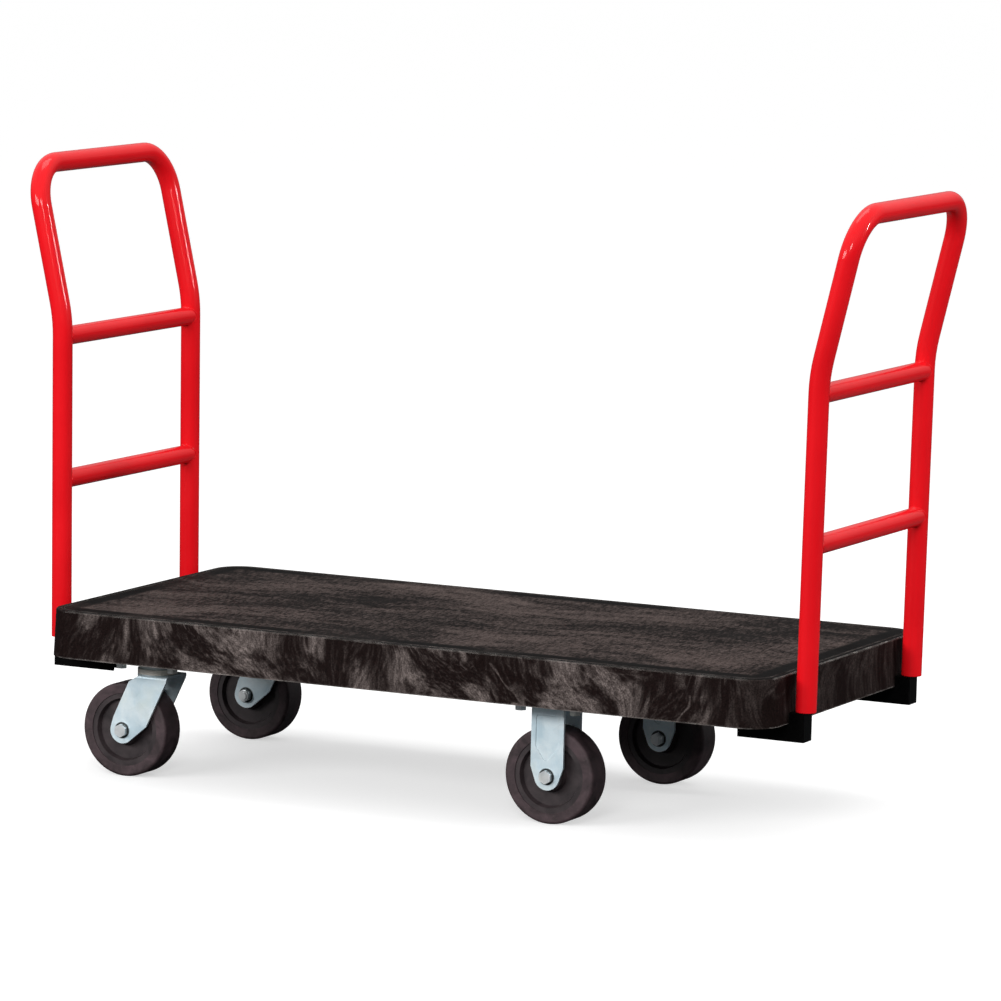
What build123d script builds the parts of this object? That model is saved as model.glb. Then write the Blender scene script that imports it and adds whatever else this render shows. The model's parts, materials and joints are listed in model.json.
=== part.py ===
"""Platform cart: a foam-plastic deck on four casters, with a bent tube handle at each end.

Frame: +X along the deck towards the rigid casters, +Y across it, +Z up.
The origin is on the floor, below the centre of the deck. Millimetres.
"""
from build123d import *
from math import cos, radians, sin, tan
import os

os.makedirs("parts", exist_ok=True)

# ---------------------------------------------------------------- driving dimensions

# deck
DECK_LENGTH = 1249.0
DECK_WIDTH = 610.0
DECK_DEPTH = 75.0
DECK_BOTTOM = 193.0
DECK_TOP = DECK_BOTTOM + DECK_DEPTH
DECK_CORNER_R = 52.0
DECK_DRAFT = 2.5
DECK_TOP_EDGE_R = 2.5
DECK_SKIN = 8.0
DECK_WALL = 8.0
DECK_RIB = 6.0
RIB_RECESS = 4.0
RIB_CELLS_LONG = 11
RIB_CELLS_ACROSS = 5
GROOVE_INSET = 9.0
GROOVE_WIDTH = 3.0
GROOVE_DEPTH = 1.5

# handles
TUBE_R = 15.875
TUBE_WALL = 2.1
LEG_X = 645.5
LEG_Y = 207.0
LEG_BOTTOM = 210.5
LEG_LEAN = 0.65
KNEE_Z = 718.5
KNEE_R = 250.0
UPPER_LEAN = 13.1
GRIP_Z = 959.5
GRIP_CORNER_R = 66.0
CROSSBAR_LOW_Z = 462.0
CROSSBAR_HIGH_Z = 690.0
CROSSBAR_R = 15.0
TUBE_END_R = 1.2

# corner brackets
BRACKET_WIDTH = 32.0
BRACKET_DEPTH = 27.0
BRACKET_WALL = 4.0
BRACKET_CHAMFER = 1.5
BRACKET_INNER_X = 541.0
BRACKET_OUTER_X = 649.5
SPIGOT_R = 13.7
SPIGOT_LENGTH = 90.0
SEAT_CLEARANCE = 0.2
DECK_END_GAP = 0.5
BRACKET_BOLT_X = (557.0, 599.0)
BRACKET_PAD_X = 578.0
BRACKET_PAD_LENGTH = 76.0
BRACKET_PAD_WIDTH = 60.0

# casters
WHEEL_R = 75.0
WHEEL_WIDTH = 50.0
CASTER_Y = 204.0
RIGID_X = 231.0
KINGPIN_X = -471.5
SWIVEL_TRAIL = 44.0
PLATE_TOP = 190.0
PLATE_THICKNESS = 6.0
PLATE_LENGTH = 114.0
PLATE_WIDTH = 102.0
PLATE_CORNER_R = 9.0
PLATE_HOLES_X = 92.0
PLATE_HOLES_Y = 66.7
PLATE_HOLE_R = 5.6
PAD_MARGIN = 3.0

# forks
FORK_INNER = 28.0
FORK_STEEL = 4.5
FORK_OUTER = FORK_INNER + FORK_STEEL
FORK_TIP_R = 21.0
FORK_BEND_R = 6.0
RIGID_LEG_HALF = 27.5
RIGID_TAPER_Z = 15.0
PANEL_DEPTH = 1.0
PANEL_CORNER_R = 5.0
PANEL_TAPER = 40
PANEL_OUTLINE = [(-20, 95), (-20, 46), (-3, 21), (19, 45), (19, 95)]
CROWN_TOP = 167.0
CROWN_RISE = CROWN_TOP - WHEEL_R
SWIVEL_LEG_OUTLINE = [
    (-15.5, 22),
    (11, 79),
    (31, CROWN_RISE),
    (80, CROWN_RISE),
    (78, 83),
    (43, 9),
]
RACE_R = 28.0
RACE_RIM = 3.0
RACE_GAP = 4.5
BALL_R = 3.4
BALL_PITCH_R = 19.5
BALL_COUNT = 14
PLATE_GROOVE_CLEARANCE = 0.3
FORK_GROOVE_CLEARANCE = 0.1
SEAL_WIDTH = 2.5
SEAL_LAP = 3.5

# wheel
TREAD_INNER_R = 58.0
TREAD_EDGE_R = 5.0
CORE_RIM_HALF = 23.5
CORE_WEB_HALF = 15.0
CORE_RECESS_R = 50.0
HUB_R = 23.0
HUB_FLARE = 3.0
HUB_HALF = 25.9
HUB_BORE_R = 15.0
BUSHING_R = 8.4
AXLE_R = 6.3
ROLLER_R = 3.1
ROLLER_COUNT = 9
CAGE_HALF = 22.7
HUB_WASHER_R = 17.0
HUB_WASHER_THICKNESS = 1.6
CAGE_GAP = 1.2
CAGE_END = 3.0

# fasteners
RUNNING_FIT = 0.05
BOLT_R = 4.9
BOLT_HEAD_R = 9.2
BOLT_HEAD_HEIGHT = 7.0
WASHER_R = 10.5
WASHER_THICKNESS = 2.0
INSERT_R = 8.0
INSERT_DEPTH = 24.0
KINGPIN_R = 7.0
KINGPIN_HEAD_R = 11.0
KINGPIN_HEAD_HEIGHT = 3.0
KINGPIN_BELOW_CROWN = 22.0
KINGPIN_CHAMFER = 1.2
KINGPIN_NUT_R = 13.0
KINGPIN_NUT_HEIGHT = 10.0
KINGPIN_NUT_GAP = 0.4
AXLE_HEAD_R = 10.8
AXLE_HEAD_HEIGHT = 7.5
AXLE_TAIL = 12.0
NUT_COLLAR_R = 8.6
NUT_COLLAR_HEIGHT = 2.5
HEAD_TAPER = 4
BOLT_HOLE_CLEARANCE = 0.3

# ---------------------------------------------------------------- derived places

ends = {"front": 1, "rear": -1}
sides = {"left": 1, "right": -1}
deck_top_length = DECK_LENGTH - 2 * DECK_DEPTH * tan(radians(DECK_DRAFT))
deck_top_width = DECK_WIDTH - 2 * DECK_DEPTH * tan(radians(DECK_DRAFT))
deck_top_corner_r = DECK_CORNER_R - DECK_DEPTH * tan(radians(DECK_DRAFT))
knee_x = LEG_X + (KNEE_Z - LEG_BOTTOM) * tan(radians(LEG_LEAN))
grip_x = knee_x + (GRIP_Z - KNEE_Z) * tan(radians(UPPER_LEAN))
plate_bottom = PLATE_TOP - PLATE_THICKNESS
swivel_wheel_x = KINGPIN_X - SWIVEL_TRAIL
bracket_top = DECK_BOTTOM
bracket_bottom = bracket_top - BRACKET_DEPTH
seat_z = LEG_BOTTOM - SEAT_CLEARANCE
caster_centres = [
    (x, sy * CASTER_Y) for x in (RIGID_X, KINGPIN_X) for sy in sides.values()
]
plate_bolt_places = [
    (cx + sx * PLATE_HOLES_X / 2, cy + sy * PLATE_HOLES_Y / 2)
    for cx, cy in caster_centres
    for sx in (1, -1)
    for sy in (1, -1)
]
bracket_bolt_places = [
    (sx * x, sy * LEG_Y)
    for x in BRACKET_BOLT_X
    for sx in ends.values()
    for sy in sides.values()
]


def leg_x_at(z):
    """Distance of a leg's axis from mid-deck at height z, below the knee."""
    return LEG_X + (z - LEG_BOTTOM) * tan(radians(LEG_LEAN))


def save(part, name):
    """Label a finished piece and write it as parts/NAME.step."""
    part.label = name
    export_step(part, f"parts/{name}.step")


def hex_block(radius, height, plane):
    """Chamfered hexagonal head or nut, its flats clear of the corner circle."""
    with BuildPart() as block:
        with BuildSketch(plane):
            RegularPolygon(radius=radius, side_count=6)
        extrude(amount=height)
        with BuildSketch(plane):
            Circle(radius)
        extrude(amount=height, taper=HEAD_TAPER, mode=Mode.INTERSECT)
    return block.part


# ---------------------------------------------------------------- deck


def rib_positions(span, cells):
    """Centres of the ribs that split a clear span into equal cells."""
    pitch = span / cells
    return [-span / 2 + pitch * i for i in range(1, cells)]


inner_length = DECK_LENGTH - 2 * DECK_WALL
inner_width = DECK_WIDTH - 2 * DECK_WALL
rib_depth = DECK_DEPTH - DECK_SKIN
pad_top = DECK_TOP - DECK_SKIN / 2

with BuildPart() as deck:
    with BuildSketch(Plane.XY.offset(DECK_BOTTOM)):
        RectangleRounded(DECK_LENGTH, DECK_WIDTH, DECK_CORNER_R)
    extrude(amount=DECK_DEPTH, taper=DECK_DRAFT)
    top_edges = deck.faces().sort_by(Axis.Z)[-1].edges()
    fillet(top_edges, radius=DECK_TOP_EDGE_R)
    # hollow underside
    with BuildSketch(Plane.XY.offset(DECK_BOTTOM)):
        RectangleRounded(inner_length, inner_width, DECK_CORNER_R - DECK_WALL)
    extrude(amount=rib_depth, taper=DECK_DRAFT, mode=Mode.SUBTRACT)
    # ribs along and across, sunk a little above the skirt's edge
    with BuildSketch(Plane.XY.offset(DECK_BOTTOM + RIB_RECESS)):
        for y in rib_positions(inner_width, RIB_CELLS_ACROSS):
            with Locations((0, y)):
                Rectangle(inner_length, DECK_RIB)
        for x in rib_positions(inner_length, RIB_CELLS_LONG):
            with Locations((x, 0)):
                Rectangle(DECK_RIB, inner_width)
    extrude(amount=pad_top - DECK_BOTTOM - RIB_RECESS)
    # solid pads that the caster plates bolt to
    with BuildSketch(Plane.XY.offset(PLATE_TOP)):
        with Locations(*caster_centres):
            RectangleRounded(
                PLATE_LENGTH + 2 * PAD_MARGIN,
                PLATE_WIDTH + 2 * PAD_MARGIN,
                PLATE_CORNER_R,
            )
    extrude(amount=pad_top - PLATE_TOP)
    # solid pads above the corner brackets
    with BuildSketch(Plane.XY.offset(DECK_BOTTOM)):
        with GridLocations(2 * BRACKET_PAD_X, 2 * LEG_Y, 2, 2):
            Rectangle(BRACKET_PAD_LENGTH, BRACKET_PAD_WIDTH)
    extrude(amount=pad_top - DECK_BOTTOM)
    # blind holes for the threaded inserts
    with Locations(*[(x, y, PLATE_TOP + INSERT_DEPTH / 2) for x, y in plate_bolt_places]):
        Cylinder(INSERT_R, INSERT_DEPTH, mode=Mode.SUBTRACT)
    with Locations(*[(x, y, DECK_BOTTOM + INSERT_DEPTH / 2) for x, y in bracket_bolt_places]):
        Cylinder(INSERT_R, INSERT_DEPTH, mode=Mode.SUBTRACT)
    # groove just inside the top edge
    with BuildSketch(Plane.XY.offset(DECK_TOP - GROOVE_DEPTH)):
        RectangleRounded(
            deck_top_length - 2 * GROOVE_INSET,
            deck_top_width - 2 * GROOVE_INSET,
            deck_top_corner_r - GROOVE_INSET,
        )
        inset = GROOVE_INSET + GROOVE_WIDTH
        RectangleRounded(
            deck_top_length - 2 * inset,
            deck_top_width - 2 * inset,
            deck_top_corner_r - inset,
            mode=Mode.SUBTRACT,
        )
    extrude(amount=2 * GROOVE_DEPTH, mode=Mode.SUBTRACT)
save(deck.part, "deck_moulding")

with BuildPart() as deck_inserts:
    with Locations(*[(x, y, PLATE_TOP + INSERT_DEPTH / 2) for x, y in plate_bolt_places]):
        Cylinder(INSERT_R, INSERT_DEPTH)
        Cylinder(BOLT_R, INSERT_DEPTH, mode=Mode.SUBTRACT)
    with Locations(*[(x, y, DECK_BOTTOM + INSERT_DEPTH / 2) for x, y in bracket_bolt_places]):
        Cylinder(INSERT_R, INSERT_DEPTH)
        Cylinder(BOLT_R, INSERT_DEPTH, mode=Mode.SUBTRACT)
save(deck_inserts.part, "deck_inserts")

# ---------------------------------------------------------------- handles


def handle_path(sx):
    """Centreline of a handle: up one leg, across the grip and down the other leg."""
    return [
        (sx * LEG_X, -LEG_Y, LEG_BOTTOM),
        (sx * knee_x, -LEG_Y, KNEE_Z),
        (sx * grip_x, -LEG_Y, GRIP_Z),
        (sx * grip_x, LEG_Y, GRIP_Z),
        (sx * knee_x, LEG_Y, KNEE_Z),
        (sx * LEG_X, LEG_Y, LEG_BOTTOM),
    ]


def bent_rod(sx, radius):
    """Round rod of the given radius along a handle's centreline."""
    with BuildPart() as rod:
        with BuildLine() as path:
            FilletPolyline(*handle_path(sx), radius=(KNEE_R, GRIP_CORNER_R, GRIP_CORNER_R, KNEE_R))
        with BuildSketch(Plane(origin=path.wire() @ 0, z_dir=path.wire() % 0)):
            Circle(radius)
        sweep(path=path.wire())
    return rod.part


def handle_tube(sx):
    """One bent tube, open at both ends, with softened outer edges there."""
    with BuildPart() as tube:
        add(bent_rod(sx, TUBE_R))
        low_faces = tube.faces().filter_by(GeomType.PLANE).sort_by(Axis.Z)[:2]
        fillet(low_faces.edges(), radius=TUBE_END_R)
        add(bent_rod(sx, TUBE_R - TUBE_WALL), mode=Mode.SUBTRACT)
    return tube.part


def crossbar(sx, z):
    """Tube across a handle, its ends coped to the legs."""
    with BuildPart() as bar:
        with BuildSketch(Plane.XZ):
            with Locations((sx * leg_x_at(z), z)):
                Circle(CROSSBAR_R)
                Circle(CROSSBAR_R - TUBE_WALL, mode=Mode.SUBTRACT)
        extrude(amount=LEG_Y, both=True)
        add(bent_rod(sx, TUBE_R), mode=Mode.SUBTRACT)
    between_legs = bar.part.solids().sort_by(SortBy.VOLUME)[-1]
    return Part(between_legs.wrapped)


for end, sx in ends.items():
    save(handle_tube(sx), f"handle_tube_{end}")
    save(crossbar(sx, CROSSBAR_LOW_Z), f"crossbar_low_{end}")
    save(crossbar(sx, CROSSBAR_HIGH_Z), f"crossbar_high_{end}")

# ---------------------------------------------------------------- corner brackets


def corner_bracket(sx, sy):
    """Channel under the deck with an outboard post that a handle leg stands on."""
    deck_end = DECK_LENGTH / 2 + DECK_END_GAP
    with BuildPart() as bracket:
        with BuildSketch(Plane.XY.offset(bracket_bottom)):
            with Locations((sx * (BRACKET_INNER_X + BRACKET_OUTER_X) / 2, sy * LEG_Y)):
                Rectangle(BRACKET_OUTER_X - BRACKET_INNER_X, BRACKET_WIDTH)
        extrude(amount=BRACKET_DEPTH)
        with BuildSketch(Plane.XY.offset(bracket_bottom)):
            with Locations((sx * (BRACKET_INNER_X + deck_end) / 2 - sx * BRACKET_WALL, sy * LEG_Y)):
                Rectangle(deck_end - BRACKET_INNER_X, BRACKET_WIDTH - 2 * BRACKET_WALL)
        extrude(amount=BRACKET_DEPTH - BRACKET_WALL, mode=Mode.SUBTRACT)
        with BuildSketch(Plane.XY.offset(bracket_top)):
            with Locations((sx * (deck_end + BRACKET_OUTER_X) / 2, sy * LEG_Y)):
                Rectangle(BRACKET_OUTER_X - deck_end, BRACKET_WIDTH)
        extrude(amount=seat_z - bracket_top)
        outer_edges = bracket.edges().filter_by(Axis.Z).sort_by(Axis((0, 0, 0), (sx, 0, 0)))[-2:]
        chamfer(outer_edges, BRACKET_CHAMFER)
        with Locations(*[(sx * x, sy * LEG_Y, bracket_top) for x in BRACKET_BOLT_X]):
            Cylinder(BOLT_R + BOLT_HOLE_CLEARANCE, 4 * BRACKET_WALL, mode=Mode.SUBTRACT)
    return bracket.part


def handle_spigots():
    """Four pins that stand on the bracket posts, one inside the foot of each leg."""
    middle_z = seat_z + SPIGOT_LENGTH / 2
    with BuildPart() as group:
        for sx in ends.values():
            for sy in sides.values():
                place = (sx * leg_x_at(middle_z), sy * LEG_Y, middle_z)
                with Locations(Location(place, (0, sx * LEG_LEAN, 0))):
                    Cylinder(SPIGOT_R, SPIGOT_LENGTH)
        with BuildSketch(Plane.XY.offset(seat_z)):
            Rectangle(4 * LEG_X, 4 * LEG_Y)
        extrude(amount=-SPIGOT_LENGTH, mode=Mode.SUBTRACT)
    return group.part


for end, sx in ends.items():
    for side, sy in sides.items():
        save(corner_bracket(sx, sy), f"corner_bracket_{end}_{side}")
save(handle_spigots(), "handle_spigots")

# ---------------------------------------------------------------- plate and bracket fasteners


def bolts(places, seat_z):
    """Hex bolts that point up, their heads' washers resting below seat_z."""
    shank_top = seat_z + INSERT_DEPTH
    head_top = seat_z - WASHER_THICKNESS
    with BuildPart() as group:
        for x, y in places:
            with Locations((x, y, (head_top + shank_top) / 2)):
                Cylinder(BOLT_R, shank_top - head_top)
            head = hex_block(BOLT_HEAD_R, BOLT_HEAD_HEIGHT, Plane((x, y, head_top), z_dir=(0, 0, -1)))
            add(head)
    return group.part


def washers(places, seat_z, radius, hole_r):
    """Flat washers whose upper faces are at seat_z."""
    with BuildPart() as group:
        with BuildSketch(Plane.XY.offset(seat_z - WASHER_THICKNESS)):
            with Locations(*places):
                Circle(radius)
                Circle(hole_r, mode=Mode.SUBTRACT)
        extrude(amount=WASHER_THICKNESS)
    return group.part


save(bolts(plate_bolt_places, plate_bottom), "caster_plate_bolts")
save(washers(plate_bolt_places, plate_bottom, WASHER_R, BOLT_R), "caster_plate_washers")
web_bottom = bracket_top - BRACKET_WALL
save(bolts(bracket_bolt_places, web_bottom), "bracket_bolts")
save(washers(bracket_bolt_places, web_bottom, WASHER_R, BOLT_R), "bracket_washers")

# ---------------------------------------------------------------- caster plates


def caster_plate(cx, cy, swivel):
    """Top plate with four bolt holes, and a raceway boss below it on a swivel caster."""
    with BuildPart() as plate:
        with BuildSketch(Plane.XY.offset(plate_bottom)):
            with Locations((cx, cy)):
                RectangleRounded(PLATE_LENGTH, PLATE_WIDTH, PLATE_CORNER_R)
        extrude(amount=PLATE_THICKNESS)
        if swivel:
            race_height = plate_bottom - CROWN_TOP - RACE_GAP
            with Locations((cx, cy, plate_bottom - race_height / 2)):
                Cylinder(RACE_R, race_height)
            with Locations((cx, cy, PLATE_TOP)):
                Cylinder(KINGPIN_R, 8 * PLATE_THICKNESS, mode=Mode.SUBTRACT)
            with Locations((cx, cy, PLATE_TOP - KINGPIN_HEAD_HEIGHT / 2)):
                Cylinder(KINGPIN_HEAD_R, KINGPIN_HEAD_HEIGHT, mode=Mode.SUBTRACT)
            with Locations((cx, cy, CROWN_TOP + RACE_GAP / 2)):
                Torus(BALL_PITCH_R, BALL_R + PLATE_GROOVE_CLEARANCE, mode=Mode.SUBTRACT)
        holes = [
            (cx + sx * PLATE_HOLES_X / 2, cy + sy * PLATE_HOLES_Y / 2, PLATE_TOP)
            for sx in (1, -1)
            for sy in (1, -1)
        ]
        with Locations(*holes):
            Cylinder(PLATE_HOLE_R, 3 * PLATE_THICKNESS, mode=Mode.SUBTRACT)
    return plate.part


# ---------------------------------------------------------------- forks


def leg_slab(outline_points, ax, y_low, y_high):
    """Leg blank: the outline in XZ about the axle at ax, merged with its round tip."""
    with BuildPart() as slab:
        with BuildSketch(Plane.XZ.offset(-y_high)):
            with BuildLine():
                Polyline(*outline_points, close=True)
            make_face()
            with Locations((ax, WHEEL_R)):
                Circle(FORK_TIP_R)
            make_hull()
        extrude(amount=y_high - y_low)
    return slab.part


def fork_blank(outline_points, ax, cy, top_z):
    """Block in the shape of the leg outline with the wheel space cut out: a U yoke."""
    with BuildPart() as blank:
        add(leg_slab(outline_points, ax, cy - FORK_OUTER, cy + FORK_OUTER))
        top_face = blank.faces().sort_by(Axis.Z)[-1]
        fillet(top_face.edges().filter_by(Axis.X), radius=FORK_BEND_R)
        with BuildSketch(Plane.YZ.offset(ax - 4 * WHEEL_R)):
            with Locations((cy, (top_z - FORK_STEEL) / 2)):
                Rectangle(2 * FORK_INNER, top_z - FORK_STEEL)
        extrude(amount=8 * WHEEL_R, mode=Mode.SUBTRACT)
        with BuildSketch(Plane.XZ.offset(-cy - 2 * FORK_OUTER)):
            with Locations((ax, WHEEL_R)):
                Circle(AXLE_R + RUNNING_FIT)
        extrude(amount=4 * FORK_OUTER, mode=Mode.SUBTRACT)
    return blank.part


def about_axle(ax, offsets):
    """Points in XZ from their offsets from the axle at ax."""
    return [(ax + dx, WHEEL_R + dz) for dx, dz in offsets]


def rigid_fork(ax, cy):
    """Straight fork welded under its plate, a shallow panel pressed into each leg."""
    top = plate_bottom
    outline = [
        (ax - RIGID_LEG_HALF, WHEEL_R + RIGID_TAPER_Z),
        (ax - RIGID_LEG_HALF, top),
        (ax + RIGID_LEG_HALF, top),
        (ax + RIGID_LEG_HALF, WHEEL_R + RIGID_TAPER_Z),
    ]
    with BuildPart() as fork:
        add(fork_blank(outline, ax, cy, top))
        for side in (1, -1):
            with BuildSketch(Plane.XZ.offset(-cy - side * FORK_OUTER)):
                with BuildLine():
                    Polyline(*about_axle(ax, PANEL_OUTLINE), close=True)
                make_face()
                fillet(vertices(), radius=PANEL_CORNER_R)
            extrude(amount=side * PANEL_DEPTH, taper=PANEL_TAPER, mode=Mode.SUBTRACT)
    return fork.part


def swivel_fork(ax, cy):
    """Raked fork with a raceway boss on its crown."""
    pin_x = ax + SWIVEL_TRAIL
    with BuildPart() as fork:
        add(fork_blank(about_axle(ax, SWIVEL_LEG_OUTLINE), ax, cy, CROWN_TOP))
        with Locations((pin_x, cy, CROWN_TOP - FORK_STEEL / 2)):
            Cylinder(RACE_R + RACE_RIM, FORK_STEEL)
        with Locations((pin_x, cy, CROWN_TOP)):
            Cylinder(KINGPIN_R + RUNNING_FIT, 8 * FORK_STEEL, mode=Mode.SUBTRACT)
        with Locations((pin_x, cy, CROWN_TOP + RACE_GAP / 2)):
            Torus(BALL_PITCH_R, BALL_R + FORK_GROOVE_CLEARANCE, mode=Mode.SUBTRACT)
    return fork.part


def kingpin(cx, cy):
    """Riveted pin: a flush head in the plate and a shank down through the crown."""
    with BuildPart() as pin:
        with Locations((cx, cy, PLATE_TOP - KINGPIN_HEAD_HEIGHT / 2)):
            Cylinder(KINGPIN_HEAD_R, KINGPIN_HEAD_HEIGHT)
        shank_bottom = CROWN_TOP - KINGPIN_BELOW_CROWN
        with Locations((cx, cy, (PLATE_TOP + shank_bottom) / 2)):
            Cylinder(KINGPIN_R, PLATE_TOP - shank_bottom)
        chamfer(pin.faces().sort_by(Axis.Z)[0].edges(), KINGPIN_CHAMFER)
    return pin.part


def kingpin_nut(cx, cy):
    """Lock nut on the kingpin, just clear of the crown's underside."""
    seat = Plane((cx, cy, CROWN_TOP - FORK_STEEL - KINGPIN_NUT_GAP), z_dir=(0, 0, -1))
    with BuildPart() as nut:
        add(hex_block(KINGPIN_NUT_R, KINGPIN_NUT_HEIGHT, seat))
        with Locations(seat.origin):
            Cylinder(KINGPIN_R, 4 * KINGPIN_NUT_HEIGHT, mode=Mode.SUBTRACT)
    return nut.part


def ball_ring(cx, cy):
    """Loose bearing balls between the two raceways."""
    with BuildPart() as balls:
        with Locations((cx, cy, CROWN_TOP + RACE_GAP / 2)):
            with PolarLocations(BALL_PITCH_R, BALL_COUNT):
                Sphere(BALL_R)
    return balls.part


def dust_seal(cx, cy):
    """Ring that closes the gap round the balls, carried by the fork."""
    with BuildPart() as seal:
        with BuildSketch(Plane.XY.offset(CROWN_TOP)):
            with Locations((cx, cy)):
                Circle(RACE_R + RACE_RIM)
                Circle(RACE_R + RACE_RIM - SEAL_WIDTH, mode=Mode.SUBTRACT)
        extrude(amount=RACE_GAP + SEAL_LAP)
    return seal.part


# ---------------------------------------------------------------- wheels


def wheel_core(ax, cy):
    """Moulded core: rim, recessed web and hub, turned about the axle."""
    half = [
        (HUB_BORE_R, 0),
        (HUB_BORE_R, HUB_HALF),
        (HUB_R, HUB_HALF),
        (HUB_R + HUB_FLARE, CORE_WEB_HALF),
        (CORE_RECESS_R - HUB_FLARE, CORE_WEB_HALF),
        (CORE_RECESS_R, CORE_RIM_HALF),
        (TREAD_INNER_R, CORE_RIM_HALF),
        (TREAD_INNER_R, 0),
    ]
    with BuildPart() as core:
        with BuildSketch(Plane.XY.offset(WHEEL_R)):
            with BuildLine():
                Polyline(*[(ax + r, cy + w) for r, w in half], close=True)
            make_face()
            mirror(about=Plane.XZ.offset(-cy))
        revolve(axis=Axis((ax, cy, WHEEL_R), (0, 1, 0)))
    return core.part


def wheel_tread(ax, cy):
    """Solid rubber tread with rounded shoulders."""
    with BuildPart() as tread:
        with BuildSketch(Plane.XZ.offset(-cy - WHEEL_WIDTH / 2)):
            with Locations((ax, WHEEL_R)):
                Circle(WHEEL_R)
        extrude(amount=WHEEL_WIDTH)
        fillet(tread.edges(), radius=TREAD_EDGE_R)
        with BuildSketch(Plane.XZ.offset(-cy - WHEEL_WIDTH)):
            with Locations((ax, WHEEL_R)):
                Circle(TREAD_INNER_R)
        extrude(amount=2 * WHEEL_WIDTH, mode=Mode.SUBTRACT)
    return tread.part


def turned_ring(ax, cy, outer_r, inner_r, half):
    """Plain ring about the axle, from cy - half to cy + half."""
    with BuildPart() as ring:
        with BuildSketch(Plane.XZ.offset(-cy - half)):
            with Locations((ax, WHEEL_R)):
                Circle(outer_r)
                Circle(inner_r, mode=Mode.SUBTRACT)
        extrude(amount=2 * half)
    return ring.part


def roller_bearing(ax, cy):
    """Cage with its rollers, which turns in the hub bore."""
    pitch_r = (HUB_BORE_R + BUSHING_R) / 2
    roller_places = [
        (ax + pitch_r * cos(radians(a)), WHEEL_R + pitch_r * sin(radians(a)))
        for a in range(0, 360, 360 // ROLLER_COUNT)
    ]
    with BuildPart() as bearing:
        add(turned_ring(ax, cy, HUB_BORE_R - CAGE_GAP, BUSHING_R + CAGE_GAP, CAGE_HALF))
        with BuildSketch(Plane.XZ.offset(-cy - CAGE_HALF + CAGE_END)):
            with Locations(*roller_places):
                Circle(ROLLER_R)
        extrude(amount=2 * (CAGE_HALF - CAGE_END))
    return bearing.part


def axle_bolts(places):
    """Axle bolts with their hex heads on the outboard side of each caster."""
    with BuildPart() as group:
        for ax, cy in places:
            out = 1 if cy > 0 else -1
            head_y = cy + out * FORK_OUTER
            far_y = cy - out * (FORK_OUTER + AXLE_TAIL)
            head_seat = Plane((ax, head_y, WHEEL_R), z_dir=(0, out, 0))
            add(turned_rod(ax, head_y, far_y, AXLE_R))
            add(hex_block(AXLE_HEAD_R, AXLE_HEAD_HEIGHT, head_seat))
    return group.part


def turned_rod(ax, y_from, y_to, radius):
    """Plain rod along Y at the axle's height."""
    with BuildPart() as rod:
        with BuildSketch(Plane.XZ.offset(-max(y_from, y_to))):
            with Locations((ax, WHEEL_R)):
                Circle(radius)
        extrude(amount=abs(y_to - y_from))
    return rod.part


def lock_nuts(places):
    """Lock nuts with a round collar on the inboard side of each caster."""
    with BuildPart() as group:
        for ax, cy in places:
            out = 1 if cy > 0 else -1
            seat_y = cy - out * FORK_OUTER
            nut_end_y = seat_y - out * AXLE_HEAD_HEIGHT
            nut_seat = Plane((ax, seat_y, WHEEL_R), z_dir=(0, -out, 0))
            add(hex_block(AXLE_HEAD_R, AXLE_HEAD_HEIGHT, nut_seat))
            add(turned_rod(ax, nut_end_y, nut_end_y - out * NUT_COLLAR_HEIGHT, NUT_COLLAR_R))
        for ax, cy in places:
            axle = turned_rod(ax, cy - 2 * FORK_OUTER, cy + 2 * FORK_OUTER, AXLE_R)
            add(axle, mode=Mode.SUBTRACT)
    return group.part


def hub_washers(places):
    """Thrust washers between each hub and the fork legs."""
    with BuildPart() as group:
        for ax, cy in places:
            for sy in (1, -1):
                middle = cy + sy * (FORK_INNER - HUB_WASHER_THICKNESS / 2)
                half = HUB_WASHER_THICKNESS / 2
                add(turned_ring(ax, middle, HUB_WASHER_R, BUSHING_R, half))
    return group.part


for side, sy in sides.items():
    cy = sy * CASTER_Y
    for kind, ax in (("front", RIGID_X), ("rear", swivel_wheel_x)):
        save(wheel_core(ax, cy), f"wheel_core_{kind}_{side}")
        save(wheel_tread(ax, cy), f"wheel_tread_{kind}_{side}")
        save(roller_bearing(ax, cy), f"roller_bearing_{kind}_{side}")
        bushing = turned_ring(ax, cy, BUSHING_R, AXLE_R, FORK_INNER)
        save(bushing, f"spanner_bushing_{kind}_{side}")

    save(caster_plate(RIGID_X, cy, False), f"caster_plate_front_{side}")
    save(rigid_fork(RIGID_X, cy), f"rigid_fork_{side}")

    save(caster_plate(KINGPIN_X, cy, True), f"caster_plate_rear_{side}")
    save(swivel_fork(swivel_wheel_x, cy), f"swivel_fork_{side}")
    save(kingpin(KINGPIN_X, cy), f"kingpin_{side}")
    save(kingpin_nut(KINGPIN_X, cy), f"kingpin_nut_{side}")
    save(ball_ring(KINGPIN_X, cy), f"ball_ring_{side}")
    save(dust_seal(KINGPIN_X, cy), f"dust_seal_{side}")
    rear_place = [(swivel_wheel_x, cy)]
    save(axle_bolts(rear_place), f"axle_bolt_rear_{side}")
    save(lock_nuts(rear_place), f"lock_nut_rear_{side}")
    save(hub_washers(rear_place), f"hub_washers_rear_{side}")

front_places = [(RIGID_X, sy * CASTER_Y) for sy in sides.values()]
save(axle_bolts(front_places), "axle_bolts_front")
save(lock_nuts(front_places), "lock_nuts_front")
save(hub_washers(front_places), "hub_washers_front")
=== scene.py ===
"""Looks of the platform cart: its materials and its weld beads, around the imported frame."""

import json
import math

import bmesh
import bpy
from mathutils import Matrix, Vector


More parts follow.
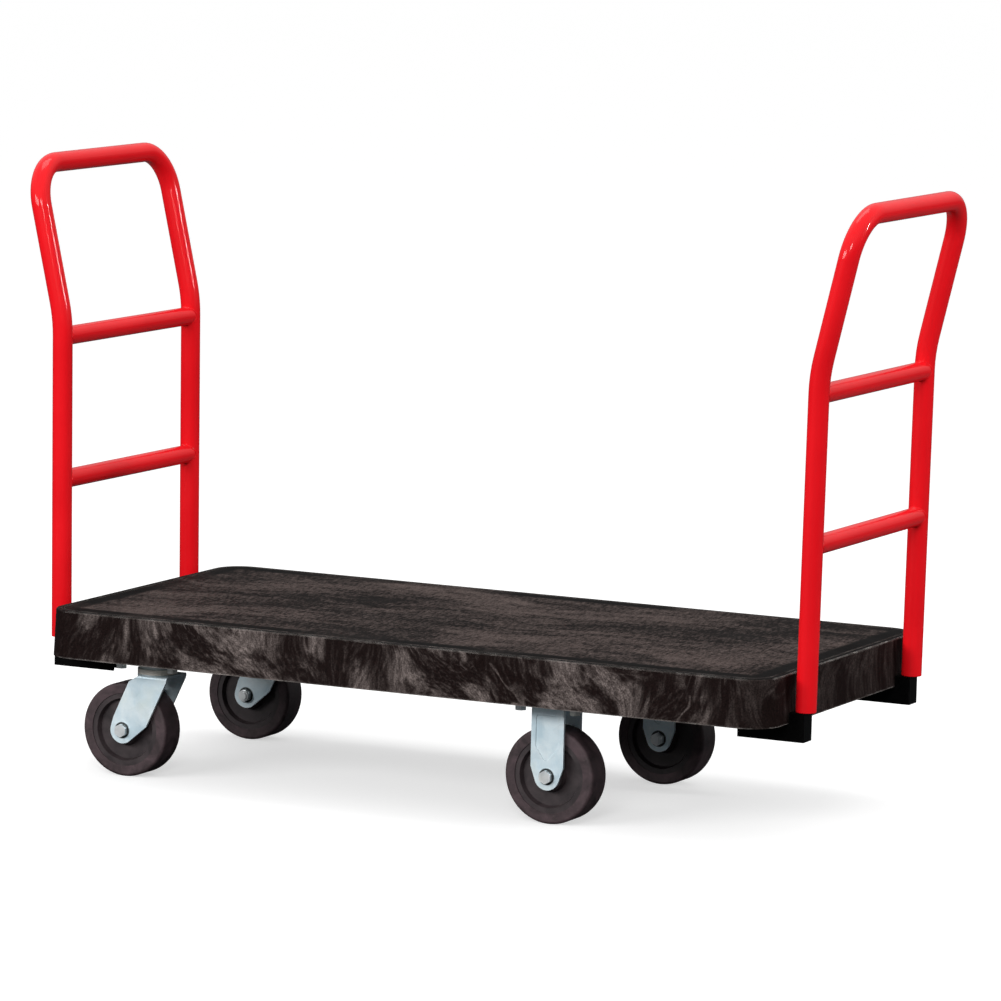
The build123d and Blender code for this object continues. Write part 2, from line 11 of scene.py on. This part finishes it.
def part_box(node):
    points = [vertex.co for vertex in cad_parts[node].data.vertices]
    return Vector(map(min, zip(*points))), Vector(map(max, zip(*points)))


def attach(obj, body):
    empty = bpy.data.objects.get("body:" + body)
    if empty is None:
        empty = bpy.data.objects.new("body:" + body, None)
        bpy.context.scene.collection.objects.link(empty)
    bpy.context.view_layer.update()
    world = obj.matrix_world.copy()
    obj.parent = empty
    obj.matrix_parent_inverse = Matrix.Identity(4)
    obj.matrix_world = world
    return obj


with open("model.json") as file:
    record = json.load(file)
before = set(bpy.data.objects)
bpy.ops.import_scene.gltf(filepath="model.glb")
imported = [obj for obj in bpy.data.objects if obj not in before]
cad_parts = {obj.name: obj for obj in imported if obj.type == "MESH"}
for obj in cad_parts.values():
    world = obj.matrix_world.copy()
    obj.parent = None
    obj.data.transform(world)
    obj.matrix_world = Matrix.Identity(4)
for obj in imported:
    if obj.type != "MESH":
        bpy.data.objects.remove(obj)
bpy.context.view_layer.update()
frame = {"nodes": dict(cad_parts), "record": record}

# ---------------------------------------------------------------- camera and light values

# metres, degrees, and millimetres for the lens; fitted to the photo's outline
CAMERA_AZIMUTH = 26.13
CAMERA_ELEVATION = 7.53
CAMERA_ROLL = 1.34
CAMERA_DISTANCE = 9.372
CAMERA_LENS = 214.5
CAMERA_AIM_RIGHT = 0.0233
CAMERA_AIM_HEIGHT = 0.4576
SENSOR_WIDTH = 36.0
FARTHEST_SEEN = 200.0

FLOOR_SIZE = 120.0
FLOOR_SEEN = (0.62, 0.62, 0.62)
FLOOR_GLOW = 0.55
FLOOR_BOUNCE = (0.07, 0.073, 0.078)
SKY_LOW = 0.15
SKY_HIGH = 0.8
SKY_HIGH_FROM = 0.6

# name, place, the point it faces, width, height, watts
LIGHTS = (
    ("overhead", (-0.6, 0.6, 4.2), (0, 0, 0.3), 2.4, 1.6, 40),
    ("front_left", (-1.8, -3.6, 1.55), (0, 0, 0.3), 2.5, 0.8, 82),
    ("front_right", (1.6, -4.2, 2.1), (0, 0, 0.5), 1.2, 1.0, 66),
    ("right", (4.3, 0.9, 1.98), (-0.6, 0, 0.85), 0.25, 0.7, 66),
)

# ---------------------------------------------------------------- values from the frame

nodes = frame["nodes"]
record = frame["record"]
grip = next(m for m in record["mounts"] if m["name"] == "grip_front")
tube_r = grip["dims"]["r_mm"] / 1000.0


# ---------------------------------------------------------------- shader helper

# the colour sockets of a Mix node, which share their names with those for other data
MIX_FACTOR, MIX_A, MIX_B = 0, 6, 7
MIX_RESULT = 2


class Shader:
    """A Principled material whose inputs come from procedural textures in the object's own frame."""

    def __init__(self, name, metallic=0.0):
        self.material = bpy.data.materials.new(name)
        self.material.use_nodes = True
        self.tree = self.material.node_tree
        self.principled = self.tree.nodes["Principled BSDF"]
        self.principled.inputs["Metallic"].default_value = metallic
        self.position = self.node("ShaderNodeTexCoord").outputs["Object"]
        self.last_normal = None

    def node(self, kind, **settings):
        made = self.tree.nodes.new(kind)
        for key, value in settings.items():
            setattr(made, key, value)
        return made

    def feed(self, socket, value):
        """Links a socket, or sets it when the value is a plain number, colour or vector."""
        if isinstance(value, bpy.types.NodeSocket):
            self.tree.links.new(value, socket)
        else:
            socket.default_value = value

    def stretched(self, scale, source=None):
        """Coordinates scaled so that a texture comes out long in one direction."""
        mapping = self.node("ShaderNodeMapping")
        self.feed(mapping.inputs["Vector"], source or self.position)
        mapping.inputs["Scale"].default_value = scale
        return mapping.outputs["Vector"]

    def noise(self, scale, detail=3.0, roughness=0.5, distortion=0.0, vector=None, colour=False):
        made = self.node("ShaderNodeTexNoise")
        self.feed(made.inputs["Vector"], vector or self.position)
        made.inputs["Scale"].default_value = scale
        made.inputs["Detail"].default_value = detail
        made.inputs["Roughness"].default_value = roughness
        made.inputs["Distortion"].default_value = distortion
        return made.outputs["Color" if colour else "Fac"]

    def cells(self, scale, vector):
        """A random colour for each cell."""
        made = self.node("ShaderNodeTexVoronoi", feature="F1")
        self.feed(made.inputs["Vector"], vector)
        made.inputs["Scale"].default_value = scale
        return made.outputs["Color"]

    def warped(self, scale, amount):
        """Coordinates pushed about by a slow noise, so that lines flow instead of running straight."""
        push = self.noise(scale, detail=2.0, colour=True)
        centred = self.node("ShaderNodeVectorMath", operation="SUBTRACT")
        self.feed(centred.inputs[0], push)
        centred.inputs[1].default_value = (0.5, 0.5, 0.5)
        scaled = self.node("ShaderNodeVectorMath", operation="SCALE")
        self.feed(scaled.inputs[0], centred.outputs[0])
        scaled.inputs["Scale"].default_value = amount
        added = self.node("ShaderNodeVectorMath", operation="ADD")
        self.feed(added.inputs[0], self.position)
        self.feed(added.inputs[1], scaled.outputs[0])
        return added.outputs[0]

    def span(self, value, low, high, to_low=0.0, to_high=1.0, smooth=False):
        """A value's range low..high spread over to_low..to_high, and clamped."""
        made = self.node("ShaderNodeMapRange", clamp=True)
        made.interpolation_type = "SMOOTHSTEP" if smooth else "LINEAR"
        self.feed(made.inputs["Value"], value)
        made.inputs["From Min"].default_value = low
        made.inputs["From Max"].default_value = high
        made.inputs["To Min"].default_value = to_low
        made.inputs["To Max"].default_value = to_high
        return made.outputs["Result"]

    def calc(self, operation, a, b=0.0, clamp=False):
        made = self.node("ShaderNodeMath", operation=operation, use_clamp=clamp)
        self.feed(made.inputs[0], a)
        self.feed(made.inputs[1], b)
        return made.outputs[0]

    def mix(self, factor, a, b, blend="MIX"):
        made = self.node("ShaderNodeMix", data_type="RGBA", blend_type=blend)
        self.feed(made.inputs[MIX_FACTOR], factor)
        self.feed(made.inputs[MIX_A], a)
        self.feed(made.inputs[MIX_B], b)
        return made.outputs[MIX_RESULT]

    def sheared(self, slope, level, source):
        """Coordinates slid sideways with the height above a level, so that upright lines lean."""
        height = self.calc("SUBTRACT", self.axis(self.position, "Z"), level)
        slide = self.calc("MULTIPLY", height, slope)
        offset = self.node("ShaderNodeCombineXYZ")
        self.feed(offset.inputs["X"], slide)
        self.feed(offset.inputs["Y"], slide)
        added = self.node("ShaderNodeVectorMath", operation="ADD")
        self.feed(added.inputs[0], source)
        self.feed(added.inputs[1], offset.outputs[0])
        return added.outputs[0]

    def axis(self, socket, letter):
        made = self.node("ShaderNodeSeparateXYZ")
        self.feed(made.inputs[0], socket)
        return made.outputs[letter]

    def upward(self):
        """1 on faces that look up, 0 on upright ones."""
        normal = self.node("ShaderNodeTexCoord").outputs["Normal"]
        return self.span(self.axis(normal, "Z"), 0.35, 0.8, smooth=True)

    def edges(self, radius, low=0.02, high=0.25):
        """1 along sharp outer edges and 0 elsewhere."""
        bevel = self.node("ShaderNodeBevel", samples=4)
        bevel.inputs["Radius"].default_value = radius
        normal = self.node("ShaderNodeNewGeometry").outputs["Normal"]
        product = self.node("ShaderNodeVectorMath", operation="DOT_PRODUCT")
        self.feed(product.inputs[0], bevel.outputs["Normal"])
        self.feed(product.inputs[1], normal)
        turned = self.calc("SUBTRACT", 1.0, product.outputs["Value"])
        return self.span(turned, low, high)

    def bump(self, height, strength, distance):
        """Relief laid over the relief that earlier calls made."""
        made = self.node("ShaderNodeBump")
        made.inputs["Strength"].default_value = strength
        made.inputs["Distance"].default_value = distance
        self.feed(made.inputs["Height"], height)
        if self.last_normal is not None:
            self.feed(made.inputs["Normal"], self.last_normal)
        self.last_normal = made.outputs["Normal"]

    def finish(self, colour, roughness):
        self.feed(self.principled.inputs["Base Color"], colour)
        self.feed(self.principled.inputs["Roughness"], roughness)
        self.feed(self.principled.inputs["Normal"], self.last_normal)
        return self.material


def rgb(red, green, blue):
    """An sRGB colour of 0..255 channels as the linear colour that a shader takes."""
    linear = []
    for channel in (red, green, blue):
        value = channel / 255.0
        linear.append(value / 12.92 if value <= 0.04045 else ((value + 0.055) / 1.055) ** 2.4)
    return (*linear, 1.0)


# ---------------------------------------------------------------- materials

TOP_DARK = rgb(10, 4, 3)
TOP_PALE = rgb(80, 70, 67)
SIDE_DARK = rgb(20, 10, 9)
SIDE_PALE = rgb(140, 128, 124)

# metres between which painted shade and painted highlights fade: from the deck's outline, its ends and
# its underside
GROOVE_SHADE = (0.05, 0.038)
HIGHLIGHT_FROM_OUTLINE = (0.005, 0.008)
SHADED_ENDS = (0.02, 0.11)
HIGHLIGHT_FREE_FOOT = (0.01, 0.04)

# metres from the axle line: the painted shade ring round a nut is full up to the first and gone at the
# second
AXLE_SHADE_RING = (0.0124, 0.0138)


def deck_side(s, middle_z):
    """How pale the moulded sides are: slanting tongues of foam with fine lines, and thin pale veins."""
    drift = s.warped(14.0, 0.007)
    slant = s.span(s.noise(4.5, 1.0, 0.4), 0.3, 0.7, -1.2, 1.2)
    leaning = s.sheared(slant, middle_z, drift)
    tongues = s.noise(15.0, 4.0, 0.6, 0.1, s.stretched((1.0, 1.0, 0.2), source=leaning))
    lines = s.noise(62.0, 5.0, 0.65, 0.25, s.stretched((2.6, 2.6, 0.3), source=leaning))
    ridges = s.noise(17.0, 2.0, 0.5, 0.15, s.stretched((1.0, 1.0, 0.12), source=leaning))
    contour = s.calc("ABSOLUTE", s.calc("SUBTRACT", ridges, 0.5))
    vein = s.span(contour, 0.0, 0.03, 1.0, 0.0, smooth=True)
    broken = s.span(s.noise(24.0, 3.0), 0.5, 0.64, 0.0, 0.24)
    shade = s.span(tongues, 0.46, 0.6, 0.01, 0.32, smooth=True)
    lined = s.calc("MULTIPLY", shade, s.span(lines, 0.36, 0.66, 0.45, 1.6))
    faint = s.span(lines, 0.5, 0.7, 0.0, 0.08)
    value = s.calc("ADD", s.calc("ADD", lined, faint), s.calc("MULTIPLY", vein, broken), clamp=True)
    return value, lines


def edge_distance(s, high):
    """How far inside the deck's outline a point lies, as the smaller of its two distances."""
    inside = []
    for letter, half in (("X", high.x), ("Y", high.y)):
        from_middle = s.calc("ABSOLUTE", s.axis(s.position, letter))
        inside.append(s.calc("SUBTRACT", half, from_middle))
    return s.calc("MINIMUM", *inside)


def deck_plastic():
    """Structural foam: flow marks drawn along the top, slanting tongues on the sides, painted shade
    beside the groove and at the ends, and painted highlights in dashes along the edges.
    """
    s = Shader("deck_foam")
    s.principled.inputs["Specular IOR Level"].default_value = 0.06
    low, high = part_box("deck_moulding")
    flow = s.warped(2.2, 0.25)
    clouds = s.noise(3.2, 4.0, 0.55, 0.5, s.stretched((1.0, 2.4, 1.0), source=flow))
    streaks = s.noise(8.0, 5.0, 0.6, 0.3, s.stretched((1.0, 4.0, 1.0), source=flow))
    speckle = s.noise(300.0, 2.0, 0.7, 0.0, s.stretched((1.0, 0.25, 1.0)))
    grain = s.noise(430.0, 2.0, 0.7)
    mottled = s.calc("ADD", s.calc("MULTIPLY", clouds, 1.4), s.calc("MULTIPLY", streaks, 0.8))
    top_value = s.span(s.calc("ADD", mottled, s.calc("MULTIPLY", speckle, 1.5)), 1.66, 2.18)
    top_colour = s.mix(top_value, TOP_DARK, TOP_PALE)
    # painted shade beside the groove along the top's border, darker in some stretches than in others
    from_outline = edge_distance(s, high)
    beside_groove = s.span(from_outline, *GROOVE_SHADE, smooth=True)
    groove_shade = s.calc("MULTIPLY", beside_groove, s.span(s.noise(3.0, 2.0), 0.4, 0.5, 0.2, 0.97))
    shaded_top = s.mix(groove_shade, top_colour, rgb(2, 1, 1))
    side_value, lines = deck_side(s, (low.z + high.z) / 2)
    # painted shade: the sides grow darker towards the deck's ends
    from_end = s.calc("SUBTRACT", high.x, s.calc("ABSOLUTE", s.axis(s.position, "X")))
    side_value = s.calc("MULTIPLY", side_value, s.span(from_end, *SHADED_ENDS, 0.25, 1.1, smooth=True))
    side_colour = s.mix(side_value, SIDE_DARK, SIDE_PALE)
    colour = s.mix(s.upward(), side_colour, shaded_top)
    grained = s.mix(0.8, colour, s.span(grain, 0.3, 0.7, 0.25, 1.75), "MULTIPLY")
    # painted highlights: edges turn pale in dashes, most of all the outer ones and those near the top
    dashes = s.span(s.noise(42.0, 4.0, 0.75), 0.44, 0.6, 0.35, 1.0)
    outer = s.span(from_outline, *HIGHLIGHT_FROM_OUTLINE, 1.0, 0.1, smooth=True)
    from_foot = s.calc("SUBTRACT", s.axis(s.position, "Z"), low.z)
    upper = s.span(from_foot, *HIGHLIGHT_FREE_FOOT, 0.3, 1.0)
    marked = s.calc("MULTIPLY", s.edges(0.004, 0.03, 0.16), dashes)
    marked = s.calc("MULTIPLY", marked, s.calc("MULTIPLY", outer, upper))
    lightened = s.mix(marked, grained, rgb(224, 218, 212))
    s.bump(grain, 0.3, 0.0005)
    s.bump(lines, 0.1, 0.001)
    return s.finish(lightened, s.span(clouds, 0.3, 0.7, 0.7, 0.9))


def red_powder_coat():
    """Glossy red powder coat with a faint orange peel, and dull rubbed places."""
    s = Shader("red_powder_coat")
    s.principled.inputs["Coat Weight"].default_value = 0.7
    s.principled.inputs["Coat Roughness"].default_value = 0.08
    s.principled.inputs["Coat IOR"].default_value = 1.35
    s.principled.inputs["Specular IOR Level"].default_value = 0.05
    peel = s.noise(420.0, 2.0, 0.5)
    tone = s.noise(6.0, 4.0, 0.55)
    scuffs = s.noise(70.0, 8.0, 0.7, 0.6, s.stretched((3.0, 3.0, 0.5)))
    scuff_mask = s.span(scuffs, 0.68, 0.76)
    colour = s.mix(s.span(tone, 0.35, 0.65), rgb(228, 16, 26), rgb(240, 20, 30))
    scuffed = s.mix(s.calc("MULTIPLY", scuff_mask, 0.3), colour, rgb(170, 30, 34))
    s.bump(peel, 0.1, 0.0003)
    rough = s.calc("ADD", s.span(tone, 0.3, 0.7, 0.36, 0.46), s.calc("MULTIPLY", scuff_mask, 0.2))
    return s.finish(scuffed, rough)


def black_paint():
    """Satin black paint over pressed steel, worn grey on the outer edges."""
    s = Shader("black_enamel")
    s.principled.inputs["Specular IOR Level"].default_value = 0.06
    grain = s.noise(260.0, 4.0, 0.6)
    wear = s.calc("MULTIPLY", s.edges(0.0012), s.span(s.noise(90.0, 5.0, 0.7), 0.5, 0.62))
    colour = s.mix(s.span(grain, 0.3, 0.7), rgb(0, 0, 0), rgb(4, 4, 4))
    lightened = s.mix(s.calc("MULTIPLY", wear, 0.3), colour, rgb(60, 58, 56))
    s.bump(grain, 0.2, 0.0004)
    return s.finish(lightened, s.span(grain, 0.3, 0.7, 0.38, 0.55))


def axle_distance(s):
    """Distance in the wheels' plane from the nearer of the two axle lines."""
    found = None
    for name in ("axle_bolts_front", "axle_bolt_rear_left"):
        low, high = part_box(name)
        across = s.calc("SUBTRACT", s.axis(s.position, "X"), (low.x + high.x) / 2)
        along = s.calc("SUBTRACT", s.axis(s.position, "Z"), (low.z + high.z) / 2)
        squares = s.calc("ADD", s.calc("MULTIPLY", across, across), s.calc("MULTIPLY", along, along))
        distance = s.calc("SQRT", squares)
        found = distance if found is None else s.calc("MINIMUM", found, distance)
    return found


def zinc(name, low, high, roughness, tint, spangle_scale=60.0, metallic=0.9, axle_shade=False):
    """Zinc plate: soft spangle, tint in places, rolling lines, bright edges, and on request a painted
    shade ring round the axle nut.
    """
    s = Shader(name, metallic)
    spangle = s.cells(spangle_scale, s.warped(30.0, 0.01))
    spangle_value = s.axis(spangle, "X")
    clouds = s.noise(24.0, 4.0, 0.6, 0.4)
    brushed = s.noise(60.0, 5.0, 0.6, 0.0, s.stretched((14.0, 14.0, 0.6)))
    base = s.mix(s.span(clouds, 0.32, 0.68), low, high)
    tinted = s.mix(s.span(s.noise(11.0, 3.0), 0.52, 0.7, 0.0, 0.45), base, tint)
    spangled = s.mix(0.12, tinted, s.span(spangle_value, 0.0, 1.0, 0.72, 1.28), "MULTIPLY")
    edged = s.mix(s.calc("MULTIPLY", s.edges(0.0009), 0.5), spangled, rgb(250, 252, 252))
    # painted shade: a dark ring on the fork round the axle nut
    if axle_shade:
        ring = s.span(axle_distance(s), *AXLE_SHADE_RING, 0.95, 0.0, smooth=True)
        edged = s.mix(ring, edged, rgb(16, 18, 16))
    s.bump(brushed, 0.12, 0.0002)
    s.bump(clouds, 0.08, 0.0006)
    cloudy = s.span(clouds, 0.3, 0.7, roughness - 0.03, roughness + 0.07)
    return s.finish(edged, s.calc("ADD", s.span(brushed, 0.3, 0.7, -0.06, 0.08), cloudy))


def plain_steel(name, low, high, roughness):
    """Turned or ground steel with a fine grain and slight staining."""
    s = Shader(name, metallic=1.0)
    lines = s.noise(500.0, 3.0, 0.6)
    stains = s.noise(45.0, 5.0, 0.6, 0.5)
    colour = s.mix(s.span(stains, 0.35, 0.68), low, high)
    s.bump(lines, 0.1, 0.0002)
    return s.finish(colour, s.span(stains, 0.3, 0.7, roughness - 0.05, roughness + 0.12))


def tread_rubber():
    """Dark brown-black rubber, dusty and slightly scuffed where it rolls."""
    s = Shader("tread_rubber")
    s.principled.inputs["Specular IOR Level"].default_value = 0.4
    mottle = s.noise(38.0, 6.0, 0.62, 0.6)
    grain = s.noise(900.0, 3.0, 0.7)
    dust = s.noise(120.0, 5.0, 0.7)
    colour = s.mix(s.span(mottle, 0.34, 0.68), rgb(44, 34, 36), rgb(82, 66, 70))
    dusty = s.mix(s.span(dust, 0.58, 0.78, 0.0, 0.25), colour, rgb(118, 106, 100))
    s.bump(grain, 0.25, 0.0003)
    s.bump(mottle, 0.15, 0.0008)
    return s.finish(dusty, s.span(mottle, 0.3, 0.7, 0.52, 0.74))


def core_plastic():
    """Moulded wheel core, a shade darker than the tread, with a faint grain."""
    s = Shader("core_plastic")
    mottle = s.noise(30.0, 5.0, 0.6, 0.5)
    grain = s.noise(700.0, 3.0, 0.65)
    colour = s.mix(s.span(mottle, 0.35, 0.67), rgb(34, 27, 29), rgb(60, 50, 52))
    s.bump(grain, 0.2, 0.0003)
    return s.finish(colour, s.span(mottle, 0.3, 0.7, 0.42, 0.6))


materials = {
    "deck_plastic": deck_plastic(),
    "red_paint": red_powder_coat(),
    "black_paint": black_paint(),
    "zinc_fork": zinc(
        "fork_zinc",
        rgb(208, 230, 240),
        rgb(238, 249, 253),
        roughness=0.5,
        tint=rgb(222, 226, 206),
        metallic=0.65,
        axle_shade=True,
    ),
    "zinc_plate": zinc(
        "plate_zinc",
        rgb(176, 188, 190),
        rgb(214, 222, 220),
        roughness=0.38,
        tint=rgb(206, 200, 166),
    ),
    "bolt_steel": zinc(
        "bolt_zinc",
        rgb(214, 220, 222),
        rgb(246, 249, 250),
        roughness=0.44,
        tint=rgb(210, 204, 176),
        spangle_scale=160.0,
    ),
    "seal_steel": zinc(
        "seal_zinc",
        rgb(236, 228, 214),
        rgb(252, 246, 236),
        roughness=0.45,
        tint=rgb(240, 226, 198),
        metallic=0.4,
    ),
    "pin_steel": plain_steel("pin_steel", rgb(120, 122, 126), rgb(178, 180, 184), 0.34),
    "spigot_steel": plain_steel("spigot_steel", rgb(112, 114, 118), rgb(160, 162, 166), 0.4),
    "ball_steel": plain_steel("ball_steel", rgb(196, 198, 202), rgb(226, 228, 232), 0.12),
    "bearing_steel": plain_steel("bearing_steel", rgb(130, 132, 136), rgb(190, 192, 196), 0.28),
    "insert_brass": plain_steel("insert_brass", rgb(168, 132, 62), rgb(212, 176, 96), 0.32),
    "tread_rubber": tread_rubber(),
    "core_plastic": core_plastic(),
}

slot_of = {s["node"]: s["material_slot"] for s in record["subparts"]}
for name, node in nodes.items():
    node.data.materials.clear()
    node.data.materials.append(materials[slot_of[name]])


# ---------------------------------------------------------------- weld beads

WELD_SIZE = 0.0013
WELD_STEPS = 96
WELD_SIDES = 10
# of each ripple: its height as a share of the bead's radius, its pace and its start in radians
WELD_RIPPLES = ((0.12, 2.4, 0.0), (0.06, 5.3, 1.0))


def bead_radius(step):
    """Radius of a weld bead with its regular ripples, at a step along it."""
    ripple = sum(height * math.sin(step * pace + start) for height, pace, start in WELD_RIPPLES)
    return WELD_SIZE * (1.0 + ripple)


def bead_mesh(name, centres):
    """A closed mesh tube along a loop of centres, rippled like a weld bead."""
    mesh = bmesh.new()
    rings = []
    side = None
    for step, centre in enumerate(centres):
        along = (centres[(step + 1) % WELD_STEPS] - centres[step - 1]).normalized()
        # each ring takes over the turn of the one before it, so that the tube doesn't twist
        if side is None:
            side = along.orthogonal().normalized()
        else:
            side = (side - along * side.dot(along)).normalized()
        up = along.cross(side)
        ring = []
        for k in range(WELD_SIDES):
            a = 2 * math.pi * k / WELD_SIDES
            offset = side * math.cos(a) + up * math.sin(a)
            ring.append(mesh.verts.new(centre + offset * bead_radius(step)))
        rings.append(ring)
    for step, ring in enumerate(rings):
        after = rings[(step + 1) % WELD_STEPS]
        # where the loop closes, the last ring joins the corners that lie nearest
        shift = 0
        if step == WELD_STEPS - 1:
            shift = min(range(WELD_SIDES), key=lambda k: (ring[0].co - after[k].co).length)
        for k in range(WELD_SIDES):
            following = (k + 1) % WELD_SIDES
            opposite = (k + shift) % WELD_SIDES
            opposite_following = (following + shift) % WELD_SIDES
            mesh.faces.new((ring[k], ring[following], after[opposite_following], after[opposite]))
    bmesh.ops.recalc_face_normals(mesh, faces=mesh.faces)
    data = bpy.data.meshes.new(name)
    mesh.to_mesh(data)
    mesh.free()
    data.polygons.foreach_set("use_smooth", [True] * len(data.polygons))
    piece = bpy.data.objects.new(name, data)
    bpy.context.scene.collection.objects.link(piece)
    return piece


def crossbar_weld(end, level, side, sign):
    """Bead where a crossbar meets a leg: the curve in which the two round tubes cross."""
    low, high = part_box(f"crossbar_{level}_{end}")
    leg_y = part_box(f"handle_tube_{end}")[1].y - tube_r
    bar_r = (high.z - low.z) / 2
    centre_x = (low.x + high.x) / 2
    centre_z = (low.z + high.z) / 2
    centres = []
    for i in range(WELD_STEPS):
        a = 2 * math.pi * i / WELD_STEPS
        x = bar_r * math.cos(a)
        inward = math.sqrt(tube_r**2 - x**2)
        centres.append(Vector((centre_x + x, sign * (leg_y - inward), centre_z + bar_r * math.sin(a))))
    bead = bead_mesh(f"weld_{level}_{end}_{side}", centres)
    bead.data.materials.append(materials["red_paint"])
    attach(bead, "chassis")


for end in ("front", "rear"):
    for level in ("low", "high"):
        for side, sign in (("left", 1), ("right", -1)):
            crossbar_weld(end, level, side, sign)


# ---------------------------------------------------------------- floor, light and camera


def floor():
    """White paper floor, white to the camera only: it throws back less light than it shows."""
    mesh = bpy.data.meshes.new("floor")
    half = FLOOR_SIZE / 2
    corners = [(-half, -half, 0), (half, -half, 0), (half, half, 0), (-half, half, 0)]
    mesh.from_pydata(corners, [], [(0, 1, 2, 3)])
    piece = bpy.data.objects.new("floor", mesh)
    bpy.context.scene.collection.objects.link(piece)
    material = bpy.data.materials.new("floor_white")
    material.use_nodes = True
    tree = material.node_tree
    tree.nodes.clear()
    seen = tree.nodes.new("ShaderNodeBsdfDiffuse")
    seen.inputs["Color"].default_value = (*FLOOR_SEEN, 1.0)
    glow = tree.nodes.new("ShaderNodeEmission")
    glow.inputs["Strength"].default_value = FLOOR_GLOW
    both = tree.nodes.new("ShaderNodeAddShader")
    bounce = tree.nodes.new("ShaderNodeBsdfDiffuse")
    bounce.inputs["Color"].default_value = (*FLOOR_BOUNCE, 1.0)
    path = tree.nodes.new("ShaderNodeLightPath")
    choose = tree.nodes.new("ShaderNodeMixShader")
    output = tree.nodes.new("ShaderNodeOutputMaterial")
    tree.links.new(seen.outputs[0], both.inputs[0])
    tree.links.new(glow.outputs[0], both.inputs[1])
    tree.links.new(path.outputs["Is Camera Ray"], choose.inputs[0])
    tree.links.new(bounce.outputs[0], choose.inputs[1])
    tree.links.new(both.outputs[0], choose.inputs[2])
    tree.links.new(choose.outputs[0], output.inputs["Surface"])
    mesh.materials.append(material)


def area_light(name, place, aim, width, height, power):
    """A white rectangular light that faces a point."""
    data = bpy.data.lights.new(name, "AREA")
    data.shape = "RECTANGLE"
    data.size = width
    data.size_y = height
    data.energy = power
    lamp = bpy.data.objects.new(name, data)
    bpy.context.scene.collection.objects.link(lamp)
    lamp.location = place
    lamp.rotation_euler = (Vector(aim) - Vector(place)).to_track_quat("-Z", "Y").to_euler()


def studio_walls():
    """White to the camera. The light from them is weaker near the floor than overhead."""
    world = bpy.data.worlds.new("studio")
    world.use_nodes = True
    tree = world.node_tree
    background = tree.nodes["Background"]
    background.inputs["Color"].default_value = (1.0, 1.0, 1.0, 1.0)
    direction = tree.nodes.new("ShaderNodeTexCoord")
    parts = tree.nodes.new("ShaderNodeSeparateXYZ")
    height = tree.nodes.new("ShaderNodeMapRange")
    height.inputs["From Min"].default_value = 0.0
    height.inputs["From Max"].default_value = SKY_HIGH_FROM
    height.inputs["To Min"].default_value = SKY_LOW
    height.inputs["To Max"].default_value = SKY_HIGH
    path = tree.nodes.new("ShaderNodeLightPath")
    seen = tree.nodes.new("ShaderNodeMath")
    seen.operation = "MAXIMUM"
    tree.links.new(direction.outputs["Generated"], parts.inputs[0])
    tree.links.new(parts.outputs["Z"], height.inputs["Value"])
    tree.links.new(path.outputs["Is Camera Ray"], seen.inputs[0])
    tree.links.new(height.outputs["Result"], seen.inputs[1])
    tree.links.new(seen.outputs[0], background.inputs["Strength"])
    return world


def studio():
    """Walls and lights of a plain product photo."""
    scene = bpy.context.scene
    scene.world = studio_walls()
    scene.view_settings.view_transform = "Standard"
    for light in LIGHTS:
        area_light(*light)


def camera():
    """The photo's viewpoint: it looks at a point to the right of the origin and above the floor."""
    data = bpy.data.cameras.new("camera")
    data.sensor_width = SENSOR_WIDTH
    data.lens = CAMERA_LENS
    data.clip_end = FARTHEST_SEEN
    azimuth = math.radians(CAMERA_AZIMUTH)
    elevation = math.radians(CAMERA_ELEVATION)
    roll = math.radians(CAMERA_ROLL)
    flat = math.cos(elevation)
    back = Vector((math.sin(azimuth) * flat, -math.cos(azimuth) * flat, math.sin(elevation)))
    right = Vector((math.cos(azimuth), math.sin(azimuth), 0.0))
    up = back.cross(right)
    image_right = right * math.cos(roll) + up * math.sin(roll)
    image_up = up * math.cos(roll) - right * math.sin(roll)
    aim = right * CAMERA_AIM_RIGHT + Vector((0, 0, CAMERA_AIM_HEIGHT))
    place = aim + back * CAMERA_DISTANCE
    piece = bpy.data.objects.new("camera", data)
    bpy.context.scene.collection.objects.link(piece)
    turn = Matrix((image_right, image_up, back)).transposed()
    piece.matrix_world = Matrix.Translation(place) @ turn.to_4x4()
    bpy.context.scene.camera = piece


floor()
studio()
camera()

# ---------------------------------------------------------------- view layer update


bpy.context.view_layer.update()
